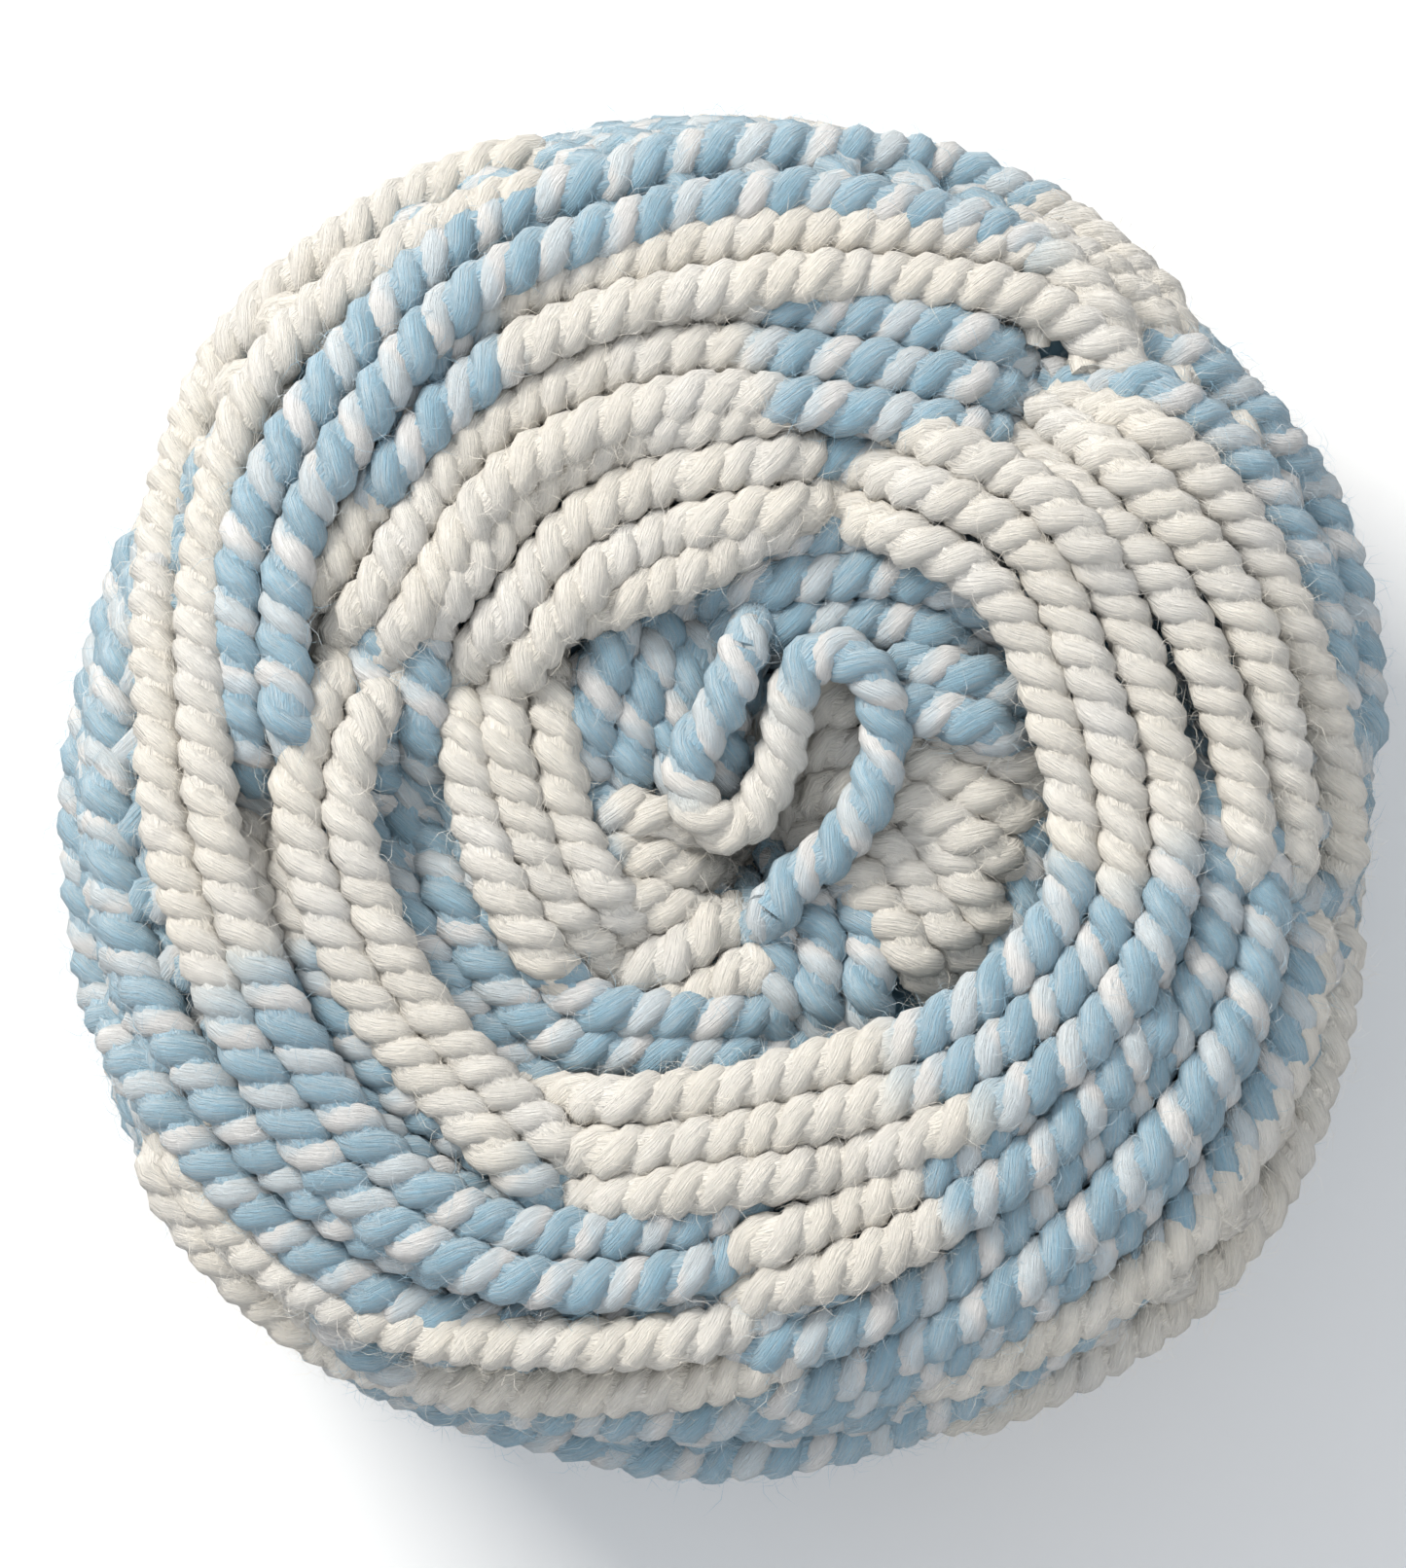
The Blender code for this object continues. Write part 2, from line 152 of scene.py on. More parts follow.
# Route of the loose end over the bowl, in metres.
LOOSE_ROUTE = (
    (0.0026, 0.0152), (0.0004, 0.0094), (-0.0034, 0.0028), (-0.0022, -0.0026),
    (0.0018, -0.0044), (0.0050, -0.0004), (0.0070, 0.0048), (0.0078, 0.0102),
    (0.0109, 0.0146), (0.0156, 0.0132), (0.0179, 0.0075), (0.0168, 0.0004),
    (0.0132, -0.0058), (0.0086, -0.0096), (0.0056, -0.0134))

# Turns that show in the gaps between the bands: rings around the bowl, each in parts.
DEEP_RINGS = 12
DEEP_PARTS = 3
DEEP_FIRST = 10.0     # radius of the innermost ring
DEEP_PITCH = 5.2
DEEP_OVERLAP = 0.25
DEEP_WAVE = 1.4
DEEP_CENTRED = 80.0   # radius at which a ring lies around the ball's own axis
DEEP_LAYER = 4.6
DEEP_UNEVEN = 0.8

# Strands of the side and the underside.
PER_BAND = 4
RIM_FROM = 0.5        # angle on the rounded rim at which the side's strands begin
RIM_LEAN = 0.8        # angle from which they slant
RIM_SUNK = 4.5        # depth of their upper ends under the bands of the upper end
FOOT_SUNK = 4.0       # depth of their lower ends under the bands of the underside
SIDE_UNEVEN = 0.2
UNDER_TURN = 2.1      # angle that a strand of the underside turns through
UNDER_OUT = 9.0       # how far it starts out on the rounded foot
UNDER_IN = 9.0        # radius at which it ends
UNDER_STEP = 1.3      # more for each strand of a band
UNDER_SUNK = 5.0      # depth of its outer end
UNDER_END = 4.0       # depth of its inner end
UNDER_CLEAR = 0.5
UNDER_TILT = 0.3      # how much deeper each strand of a band lies than the last

GRID = 2              # squares to the millimetre on the map of laid strands
MAP_REACH = 84
PRESSED = 1.9         # half the distance between two strands that cross
STEEPEST = 0.98       # how far out on the rounded rim a strand can lie, 1 is upright
UPPER_STEP = 0.9      # distance between the points of a guide line
DEEP_STEP = 1.2
SIDE_STEP = 1.25
LOOSE_STEP = 0.0007   # the same for the loose end, in metres
SPREAD = 1.06         # how much wider a strand lies between its neighbours
RISE = 2.4            # most that a strand climbs over others, above its own layer
CLIMB_SPAN = 3.5      # length over which it is lifted on both sides of a crossing
DRIFT = 0.22          # how far strands wander aside
DRIFT_EVERY = 14
HEAVE = 0.15          # how far they wander up and down
HEAVE_EVERY = 18
LEAD_LENGTH = 7.0     # length of the yarn carried on at both ends of the loose end
LEAD_OVERLAP = 0.6
LEAD_DROP = 9.5
LEAD_THIN = 0.55

# Yarn that is not a ply: the fluff between the plies, and how the plies vary.
FLUFF_STEP = 0.0022
FLUFF_SIDES = 7
FLUFF_BLUE = 0.88
PLY_DRIFT = 1.2       # how far the twist runs ahead or behind, in radians
BLUE_FULLER = 0.06    # how much thicker the blue ply is, and thinner the white one beside it
WHITE_THINNER = -0.02

# Loose fibres, in metres and as shares of a fibre's length.
FIBRE_LENGTHS = (0.0018, 0.0052)
FIBRE_THICK = 0.0048
BENT = 0.15
SIDE_FIBRES = 0.32    # share of the fibres that the side has

# Picture: rows and scale of the photo, and the camera's height over the upper end.
PHOTO_ROWS = 1612
PHOTO_SCALE = 0.1062
CAMERA_AWAY = 1.6
CAMERA_AIM = (-0.00220, 0.00082, 0.098)
# name, place, watts, width and colour
LIGHTS = (
    ("key light", (-0.90, 1.00, 0.98), 28.0, 0.60, (1.0, 0.965, 0.91)),
    ("fill light", (0.3, 0.7, 1.3), 1.0, 1.0, (0.95, 0.97, 1.0)),
)


# ---- Sums on node sockets ----


class Value:
    """An output of a node, which Python sums turn into Math nodes."""

    def __init__(self, tree, socket):
        self.tree = tree
        self.socket = socket

    def math(self, operation, *others):
        inputs = {0: self}
        inputs.update({i + 1: other for i, other in enumerate(others)})
        return add_node(self.tree, "ShaderNodeMath", {"operation": operation}, inputs)

    def __add__(self, other):
        return self.math("ADD", other)

    def __mul__(self, other):
        return self.math("MULTIPLY", other)

    def __sub__(self, other):
        return self.math("SUBTRACT", other)

    def __rsub__(self, other):
        return add_node(self.tree, "ShaderNodeMath", {"operation": "SUBTRACT"},
                        {0: other, 1: self})

    __radd__ = __add__
    __rmul__ = __mul__


def add_node(tree, kind, settings=None, inputs=None, output=0):
    """Adds a node, sets it up, fills or links its inputs and returns one output."""
    node = tree.nodes.new(kind)
    for name, value in (settings or {}).items():
        setattr(node, name, value)
    for key, value in (inputs or {}).items():
        if isinstance(value, Value):
            tree.links.new(value.socket, node.inputs[key])
        else:
            node.inputs[key].default_value = value
    return Value(tree, node.outputs[output])


def vector_math(tree, operation, first, second=None, output=0):
    inputs = {0: first}
    if second is not None:
        inputs["Scale" if operation == "SCALE" else 1] = second
    return add_node(tree, "ShaderNodeVectorMath", {"operation": operation}, inputs, output)


# ---- Profile of the ball ----


def smooth(x):
    """Ease from 0 to 1 as x goes from 0 to 1."""
    x = np.clip(x, 0.0, 1.0)
    return x * x * (3.0 - 2.0 * x)


def through(points, per_span):
    """Even curve through the points, as an array with per_span steps a span."""
    p = np.array(points, float)
    p = np.vstack([2 * p[0] - p[1], p, 2 * p[-1] - p[-2]])
    out = []
    for a, b, c, d in zip(p, p[1:], p[2:], p[3:]):
        for t in np.arange(per_span) / per_span:
            out.append(0.5 * (2 * b + (c - a) * t + (2 * a - 5 * b + 4 * c - d) * t ** 2
                              + (3 * b - a - 3 * c + d) * t ** 3))
    out.append(p[-2])
    return np.array(out)


def evenly(line, step):
    """The same line with points about one step apart."""
    gaps = np.linalg.norm(np.diff(line, axis=0), axis=1)
    along = np.concatenate([[0.0], np.cumsum(gaps)])
    even = np.linspace(0.0, along[-1], max(2, int(round(along[-1] / step))) + 1)
    return np.column_stack([np.interp(even, along, line[:, i]) for i in range(line.shape[1])])


def reach(angle):
    """Distance from the axis to the side of the ball in one direction."""
    turn = np.array([REACH[i % 24] for i in range(-1, 26)])
    place = (math.degrees(angle) % 360.0) / 15.0
    i = int(place)
    t = place - i
    a, b, c, d = turn[i:i + 4]
    return 0.5 * (2 * b + (c - a) * t + (2 * a - 5 * b + 4 * c - d) * t ** 2
                  + (3 * b - a - 3 * c + d) * t ** 3)


def dip(x, y):
    """Depth of the bowl and the hole at one point of the upper end."""
    hole = HOLE_DEPTH * math.exp(-((x - HOLE[0]) ** 2 + (y - HOLE[1]) ** 2) / HOLE_WIDTH ** 2)
    bowl = BOWL_DEPTH * math.exp(-((x - BOWL[0]) ** 2 + (y - BOWL[1]) ** 2) / BOWL_WIDTH ** 2)
    return hole + bowl


def seat(x, y, layer_depth, sunk):
    """A strand's middle over (x, y): where it lies, and the way out of the ball there."""
    r = math.hypot(x, y)
    angle = math.atan2(y, x)
    inner = reach(angle) - BULGE - CORNER
    if r <= inner:
        z = HEIGHT - DOME * (r / inner) ** 2 - layer_depth - sunk - dip(x, y)
        return (x, y, z), (0.0, 0.0, 1.0)
    rim = float(smooth((r - inner) / CORNER))
    depth = sunk + layer_depth * (1.0 - rim)
    wide = CORNER + BULGE + 0.5 - depth
    tall = CORNER_DEPTH - depth
    s = min((r - inner) / wide, STEEPEST)
    c = math.sqrt(1.0 - s * s)
    r = inner + wide * s
    out = math.hypot(s / wide, c / tall)
    ux, uy = math.cos(angle), math.sin(angle)
    up = (ux * s / wide / out, uy * s / wide / out, c / tall / out)
    return (r * ux, r * uy, Z_TOP + tall * c - dip(x, y) * (1.0 - rim)), up


def relief(count, angle):
    """Depth of the furrows between evenly spaced bands."""
    place = count * angle / math.tau
    f = place - math.floor(place)
    return (2.0 * f - 1.0) ** 4


class Bed:
    """Map of how high the strands laid so far stand, looking down on the upper end."""

    def __init__(self):
        self.size = 2 * MAP_REACH * GRID + 1
        self.top = np.full((self.size, self.size), -1e3)
        n = int(math.ceil(PRESSED * GRID))
        di, dj = np.meshgrid(np.arange(-n, n + 1), np.arange(-n, n + 1))
        room = PRESSED ** 2 - (di ** 2 + dj ** 2) / GRID ** 2
        keep = room > 0
        self.di, self.dj = di[keep], dj[keep]
        self.cap = np.sqrt(room[keep])

    def cells(self, points):
        i = np.rint((points[:, 1] + MAP_REACH) * GRID).astype(int)[:, None] + self.di
        j = np.rint((points[:, 0] + MAP_REACH) * GRID).astype(int)[:, None] + self.dj
        return np.clip(i, 0, self.size - 1), np.clip(j, 0, self.size - 1)

    def rest(self, points):
        i, j = self.cells(points)
        return (self.top[i, j] + self.cap).max(axis=1)

    def lay(self, points):
        i, j = self.cells(points)
        np.maximum.at(self.top, (i, j), points[:, 2:3] + self.cap)


def taut(heights, reach_out):
    """Heights of a strand pulled tight: it spans the dips between the high points."""
    n = len(heights)
    tall = np.array([heights[max(0, i - reach_out):i + reach_out + 1].max() for i in range(n)])
    kernel = np.hanning(2 * reach_out + 3)
    kernel /= kernel.sum()
    return np.convolve(np.pad(tall, reach_out + 1, mode="edge"), kernel, mode="valid")


# ---- Guide lines ----


def strand(points, ups, blue, chance):
    """One strand's guide line, with the points in millimetres."""
    points = np.array(points, float)
    points[:, 0] += AXIS[0]
    points[:, 1] += AXIS[1]
    return {
        "points": points * MM,
        "ups": np.array(ups, float),
        "blue": np.array(blue, float),
        "width": np.full(len(points), SPREAD),
        "phase": chance.uniform(0.0, math.tau),
        "shade": chance.uniform(0.0, 1.0),
    }


def wander(count, chance, every, size):
    """Slow random drift along a strand."""
    knots = chance.normal(0.0, size, max(2, int(count / every)) + 2)
    return np.interp(np.linspace(0, len(knots) - 1, count), np.arange(len(knots)), knots)


def blue_share(name, along, chance):
    if name not in BLUE:
        return np.zeros(len(along))
    start, stop = BLUE[name]
    start = start - 0.2 if start == 0.0 else start + chance.normal(0.0, 0.015)
    stop = stop + 0.2 if stop == 1.0 else stop + chance.normal(0.0, 0.015)
    return smooth((along - start) / 0.05) * smooth((stop - along) / 0.05)


def upper_strands(bed, half, step, chance):
    """Guide lines of the bands on the upper end, in the order in which they were wound."""
    made = []
    for name, turns, spacing, layer, route in BANDS:
        line = evenly(through(route, 10), step)
        tangent = np.gradient(line, axis=0)
        tangent /= np.linalg.norm(tangent, axis=1)[:, None]
        left = np.column_stack([-tangent[:, 1], tangent[:, 0]])
        for k in range(turns):
            aside = (k - (turns - 1) / 2) * spacing
            drift = wander(len(line), chance, DRIFT_EVERY, DRIFT)
            flat = evenly(line + left * (aside + drift[:, None]), step)
            crown = CROWN * (1.0 - (aside / (turns * spacing / 2)) ** 2)
            n = len(flat)
            along = np.linspace(0.0, 1.0, n)
            ends = np.minimum(np.arange(n), np.arange(n)[::-1]) * step
            placed = [seat(x, y, (LAYERS - layer) * LAYER, half) for x, y in flat]
            points = np.array([p for p, _ in placed])
            ups = np.array([u for _, u in placed])
            points[:, 2] += crown * ups[:, 2] + wander(n, chance, HEAVE_EVERY, HEAVE)
            nominal = points[:, 2].copy()
            rest = np.minimum(bed.rest(points), nominal + RISE)
            flatness = smooth((ups[:, 2] - 0.5) / 0.4)
            free = smooth(ends / min(DIVE, DIVE_SHARE * ends.max()))
            sink = min(SINK, SINK_LEAST + SINK_GAIN * layer)
            climb = np.maximum(rest - nominal, 0.0) * flatness * free
            points[:, 2] = nominal + taut(climb, int(CLIMB_SPAN / step))
            points -= ups * ((1.0 - free) * sink)[:, None]
            bed.lay(points)
            made.append(strand(points, ups, blue_share(name, along, chance), chance))
    return made


def deep_strands(bed, half, step, chance):
    """Guide lines of the turns that show in the gaps between the bands."""
    made = []
    for ring in range(DEEP_RINGS):
        radius = DEEP_FIRST + DEEP_PITCH * ring
        for part in range(DEEP_PARTS):
            begin = chance.uniform(0.0, math.tau)
            arc = np.arange(0.0, math.tau / DEEP_PARTS + DEEP_OVERLAP, step / radius) + begin
            arc += math.tau * part / DEEP_PARTS
            wave = radius + DEEP_WAVE * np.sin(3.0 * arc + ring)
            x = BOWL[0] * (1 - radius / DEEP_CENTRED) + wave * np.cos(arc)
            y = BOWL[1] * (1 - radius / DEEP_CENTRED) + wave * np.sin(arc)
            placed = [seat(a, b, DEEP_LAYER * LAYER, half) for a, b in zip(x, y)]
            points = np.array([p for p, _ in placed])
            points[:, 2] += chance.uniform(-DEEP_UNEVEN, DEEP_UNEVEN)
            bed.lay(points)
            made.append(strand(points, [u for _, u in placed], np.ones(len(points)), chance))
    return made


def side_strands(half, step, chance):
    """Guide lines down the side, in slanting bands from under the rim to the underside."""
    made = []
    for band in range(SIDE_BANDS):
        blue = 1.0 if band % 3 != 1 else 0.0
        for k in range(PER_BAND):
            start = math.tau * (band + (k + 0.5) / PER_BAND) / SIDE_BANDS
            sunk = half + SIDE_RELIEF * relief(SIDE_BANDS, start)
            sunk += chance.uniform(-SIDE_UNEVEN, SIDE_UNEVEN)
            spots = []
            for a in np.linspace(RIM_FROM, math.pi / 2, 10):
                under = RIM_SUNK * (1.0 - float(smooth((a - RIM_FROM) / 0.5)))
                angle = start + SIDE_TWIST * 0.2 * max(a - RIM_LEAN, 0.0) ** 2
                spots.append((angle, a, sunk + under, "rim"))
            turned = SIDE_TWIST * 0.2 * (math.pi / 2 - RIM_LEAN) ** 2
            for f in np.linspace(0.08, 0.92, 12):
                spots.append((start + turned + SIDE_TWIST * f, f, sunk, "side"))
            turned += SIDE_TWIST
            for f in np.linspace(0.0, 0.8, 9):
                under = FOOT_SUNK * float(smooth((f - 0.45) / 0.35))
                spots.append((start + turned + UNDER_TWIST * 0.5 * f, f, sunk + under, "foot"))
            rows = []
            for angle, f, depth, where in spots:
                ux, uy = math.cos(angle), math.sin(angle)
                edge = reach(angle) - BULGE
                if where == "rim":
                    r = edge - CORNER + (CORNER - depth) * math.sin(f)
                    z = Z_TOP + (CORNER_DEPTH - depth) * math.cos(f)
                    up = (math.sin(f), math.cos(f))
                elif where == "side":
                    r = edge + BULGE * math.sin(math.pi * f) - depth
                    z = Z_TOP + (CORNER_DEPTH - Z_TOP) * f
                    up = (1.0, 0.0)
                else:
                    a = math.pi / 2 * (1.0 - f)
                    r = edge - CORNER + (CORNER - depth) * math.sin(a)
                    z = CORNER_DEPTH - (CORNER_DEPTH - depth) * math.cos(a)
                    up = (math.sin(a), -math.cos(a))
                rows.append((r * ux, r * uy, z, up[0] * ux, up[0] * uy, up[1]))
            line = evenly(through(rows, 10), 1.0)
            line = resample(line, step)
            blues = np.full(len(line), blue)
            made.append(strand(line[:, :3], line[:, 3:], blues, chance))
    return made


def resample(line, step):
    """Points with their outward ways, spaced evenly by the distance between the points."""
    gaps = np.linalg.norm(np.diff(line[:, :3], axis=0), axis=1)
    along = np.concatenate([[0.0], np.cumsum(gaps)])
    even = np.linspace(0.0, along[-1], int(round(along[-1] / step)) + 1)
    out = np.column_stack([np.interp(even, along, line[:, i]) for i in range(line.shape[1])])
    out[:, 3:] /= np.linalg.norm(out[:, 3:], axis=1)[:, None]
    return out


def under_strands(half, step, chance):
    """Guide lines of the underside: bands that turn in around a small hole."""
    made = []
    for band in range(UNDER_BANDS):
        blue = 1.0 if band % 2 else 0.0
        for k in range(PER_BAND):
            start = math.tau * (band + (k + 0.5) / PER_BAND) / UNDER_BANDS
            rows = []
            for f in np.linspace(0.0, 1.0, 16):
                angle = start + UNDER_TURN * f
                edge = reach(angle) - BULGE - CORNER
                r = (edge + UNDER_OUT) * (1.0 - f) + (UNDER_IN + UNDER_STEP * k) * f
                lift = (UNDER_SUNK * (1.0 - float(smooth(f / 0.22)))
                        + UNDER_END * float(smooth((f - 0.8) / 0.2)))
                depth = half + UNDER_CLEAR + UNDER_TILT * k + lift
                over = max(r - edge, 0.0) / (CORNER - depth)
                a = math.asin(min(over, 0.95))
                z = CORNER_DEPTH - (CORNER_DEPTH - depth) * math.cos(a)
                ux, uy = math.cos(angle), math.sin(angle)
                rows.append((r * ux, r * uy, z, math.sin(a) * ux, math.sin(a) * uy, -math.cos(a)))
            line = resample(evenly(through(rows, 8), 1.0), step)
            made.append(strand(line[:, :3], line[:, 3:], np.full(len(line), blue), chance))
    return made


# ---- Yarn ----


def add_ports(tree, result, **inputs):
    """Gives a node tree its inputs and its one output, and returns the inputs by name."""
    for name, kind in inputs.items():
        tree.interface.new_socket(name.replace("_", " "), in_out="INPUT",
                                  socket_type="NodeSocket" + kind)
    tree.interface.new_socket(result, in_out="OUTPUT", socket_type="NodeSocketGeometry")
    entry = tree.nodes.new("NodeGroupInput")
    return {s.name: Value(tree, s) for s in entry.outputs if s.name}


def ply_tree(material):
    """Geometry nodes that twist two plies round every guide line."""
    tree = bpy.data.node_groups.new("Two plies along a guide line", "GeometryNodeTree")
    given = add_ports(tree, "Yarn", Guides="Geometry", Ply_radius="Float", Ply_offset="Float",
                      Twist_pitch="Float", Unevenness="Float", Filling="Float", Sides="Int")

    def named(name, kind="FLOAT"):
        return add_node(tree, "GeometryNodeInputNamedAttribute", {"data_type": kind},
                        {"Name": name})

    def store(geometry, name, value, kind="FLOAT"):
        return add_node(tree, "GeometryNodeStoreNamedAttribute",
                        {"data_type": kind, "domain": "POINT"},
                        {"Geometry": geometry, "Name": name, "Value": value})

    curves = add_node(tree, "GeometryNodeMeshToCurve", None, {"Mesh": given["Guides"]})
    length = add_node(tree, "GeometryNodeSplineParameter", output=1)
    curves = store(curves, "along", length * 1000.0 + named("shade") * 90.0)

    circle = add_node(tree, "GeometryNodeCurvePrimitiveCircle", {"mode": "RADIUS"},
                      {"Resolution": given["Sides"], "Radius": given["Ply radius"]})
    place = add_node(tree, "GeometryNodeInputPosition")
    unit = vector_math(tree, "NORMALIZE", place)
    circle = store(circle, "round", unit, "FLOAT_VECTOR")

    tangent = add_node(tree, "GeometryNodeInputTangent")
    side = vector_math(tree, "NORMALIZE",
                       vector_math(tree, "CROSS_PRODUCT", tangent, named("up", "FLOAT_VECTOR")))
    rise = vector_math(tree, "CROSS_PRODUCT", side, tangent)
    turn = named("phase") + length.math("DIVIDE", given["Twist pitch"]) * math.tau
    drift = add_node(tree, "ShaderNodeTexNoise", {"noise_dimensions": "1D"},
                     {"W": named("along"), "Scale": 0.21, "Detail": 1.0})
    swell = add_node(tree, "ShaderNodeTexNoise", {"noise_dimensions": "1D"},
                     {"W": named("along") + 50.0, "Scale": 0.33, "Detail": 1.0})
    plies = []
    for ply in (0, 1):
        angle = turn + math.pi * ply + (drift - 0.5) * PLY_DRIFT
        across = vector_math(tree, "SCALE", side, angle.math("COSINE"))
        upward = vector_math(tree, "SCALE", rise, angle.math("SINE"))
        away = vector_math(tree, "SCALE", vector_math(tree, "ADD", across, upward),
                           given["Ply offset"] * named("width"))
        moved = add_node(tree, "GeometryNodeSetPosition", None,
                         {"Geometry": curves, "Offset": away})
        moved = store(moved, "tint", named("blue") * float(ply))
        fuller = named("blue") * (BLUE_FULLER if ply else WHITE_THINNER)
        size = named("width") * (1.0 + (swell - 0.5) * given["Unevenness"] + fuller)
        moved = add_node(tree, "GeometryNodeSetCurveRadius", None,
                         {"Curve": moved, "Radius": size})
        moved = store(moved, "size", size)
        moved = store(moved, "away", vector_math(tree, "NORMALIZE", away), "FLOAT_VECTOR")
        ply_mesh = add_node(tree, "GeometryNodeCurveToMesh", None,
                            {"Curve": moved, "Profile Curve": circle, "Fill Caps": True,
                             "Scale": named("size")})
        facing = vector_math(tree, "DOT_PRODUCT", add_node(tree, "GeometryNodeInputNormal"),
                             named("away", "FLOAT_VECTOR"), 1)
        plies.append(store(ply_mesh, "outer", facing))
    middle = store(curves, "tint", named("blue") * FLUFF_BLUE)
    middle = add_node(tree, "GeometryNodeResampleCurve", {"mode": "LENGTH"},
                      {"Curve": middle, "Length": FLUFF_STEP})
    hoop = add_node(tree, "GeometryNodeCurvePrimitiveCircle", {"mode": "RADIUS"},
                    {"Resolution": FLUFF_SIDES, "Radius": given["Filling"]})
    hoop = store(hoop, "round", vector_math(tree, "NORMALIZE",
                                            add_node(tree, "GeometryNodeInputPosition")),
                 "FLOAT_VECTOR")
    plies.append(add_node(tree, "GeometryNodeCurveToMesh", None,
                          {"Curve": middle, "Profile Curve": hoop, "Fill Caps": True}))
    join = tree.nodes.new("GeometryNodeJoinGeometry")
    for ply in plies:
        tree.links.new(ply.socket, join.inputs[0])
    solid = add_node(tree, "GeometryNodeRealizeInstances", None, {0: Value(tree, join.outputs[0])})
    solid = add_node(tree, "GeometryNodeSetShadeSmooth", None, {0: solid, "Shade Smooth": True})
    solid = add_node(tree, "GeometryNodeSetMaterial", None, {0: solid, "Material": material})
    leave = tree.nodes.new("NodeGroupOutput")
    tree.links.new(solid.socket, leave.inputs[0])
    return tree


def plain_mesh(ob, tree, values):
    """Runs a node tree on the object and keeps the result as its mesh."""
    modifier = ob.modifiers.new("build", "NODES")
    modifier.node_group = tree
    for item in tree.interface.items_tree:
        if item.in_out == "INPUT" and item.name in values:
            modifier[item.identifier] = values[item.name]
    ob.update_tag()
    graph = bpy.context.evaluated_depsgraph_get()
    mesh = bpy.data.meshes.new_from_object(ob.evaluated_get(graph), preserve_all_data_layers=True,
                                           depsgraph=graph)
    ob.modifiers.clear()
    guides = ob.data
    ob.data = mesh
    mesh.name = ob.name
    bpy.data.meshes.remove(guides)
    return ob


def add_yarn(name, strands, material, size, sides):
    """One piece of yarn that follows the guide lines of all the strands."""
    verts, edges = [], []
    for s in strands:
        first = len(verts)
        verts.extend(map(tuple, s["points"]))
        edges.extend((first + i, first + i + 1) for i in range(len(s["points"]) - 1))
    mesh = bpy.data.meshes.new(name)
    mesh.from_pydata(verts, edges, [])
    up = mesh.attributes.new("up", "FLOAT_VECTOR", "POINT")
    up.data.foreach_set("vector", np.concatenate([s["ups"] for s in strands]).ravel())
    for key in ("blue", "width"):
        layer = mesh.attributes.new(key, "FLOAT", "POINT")
        layer.data.foreach_set("value", np.concatenate([s[key] for s in strands]))
    for key in ("phase", "shade"):
        layer = mesh.attributes.new(key, "FLOAT", "POINT")
        layer.data.foreach_set("value", np.concatenate(
            [np.full(len(s["points"]), s[key]) for s in strands]))
    ob = bpy.data.objects.new(name, mesh)
    bpy.context.scene.collection.objects.link(ob)
    plain_mesh(ob, ply_tree(material), {
        "Ply radius": size.ply_radius, "Ply offset": size.ply_offset,
        "Twist pitch": size.twist_pitch, "Unevenness": size.unevenness,
        "Filling": size.filling, "Sides": sides})
    return ob


def finish_piece(ob, *nodes):
    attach(ob, "root")
    if nodes:
        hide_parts(*nodes)


# ---- Materials ----


def new_material(name):
    material = bpy.data.materials.new(name)
    material.use_nodes = True
    tree = material.node_tree
    shader = tree.nodes["Principled BSDF"]
    for key, value in (("Roughness", 0.92), ("Metallic", 0.0), ("Specular IOR Level", 0.18),
                       ("Diffuse Roughness", 1.0), ("Sheen Weight", 0.6),
                       ("Sheen Roughness", 0.6)):
        shader.inputs[key].default_value = value
    return material, tree, shader


def mix_colour(tree, kind, factor, first, second):
    return add_node(tree, "ShaderNodeMix", {"data_type": "RGBA", "blend_type": kind},
                    {0: factor, 6: first, 7: second}, 2)


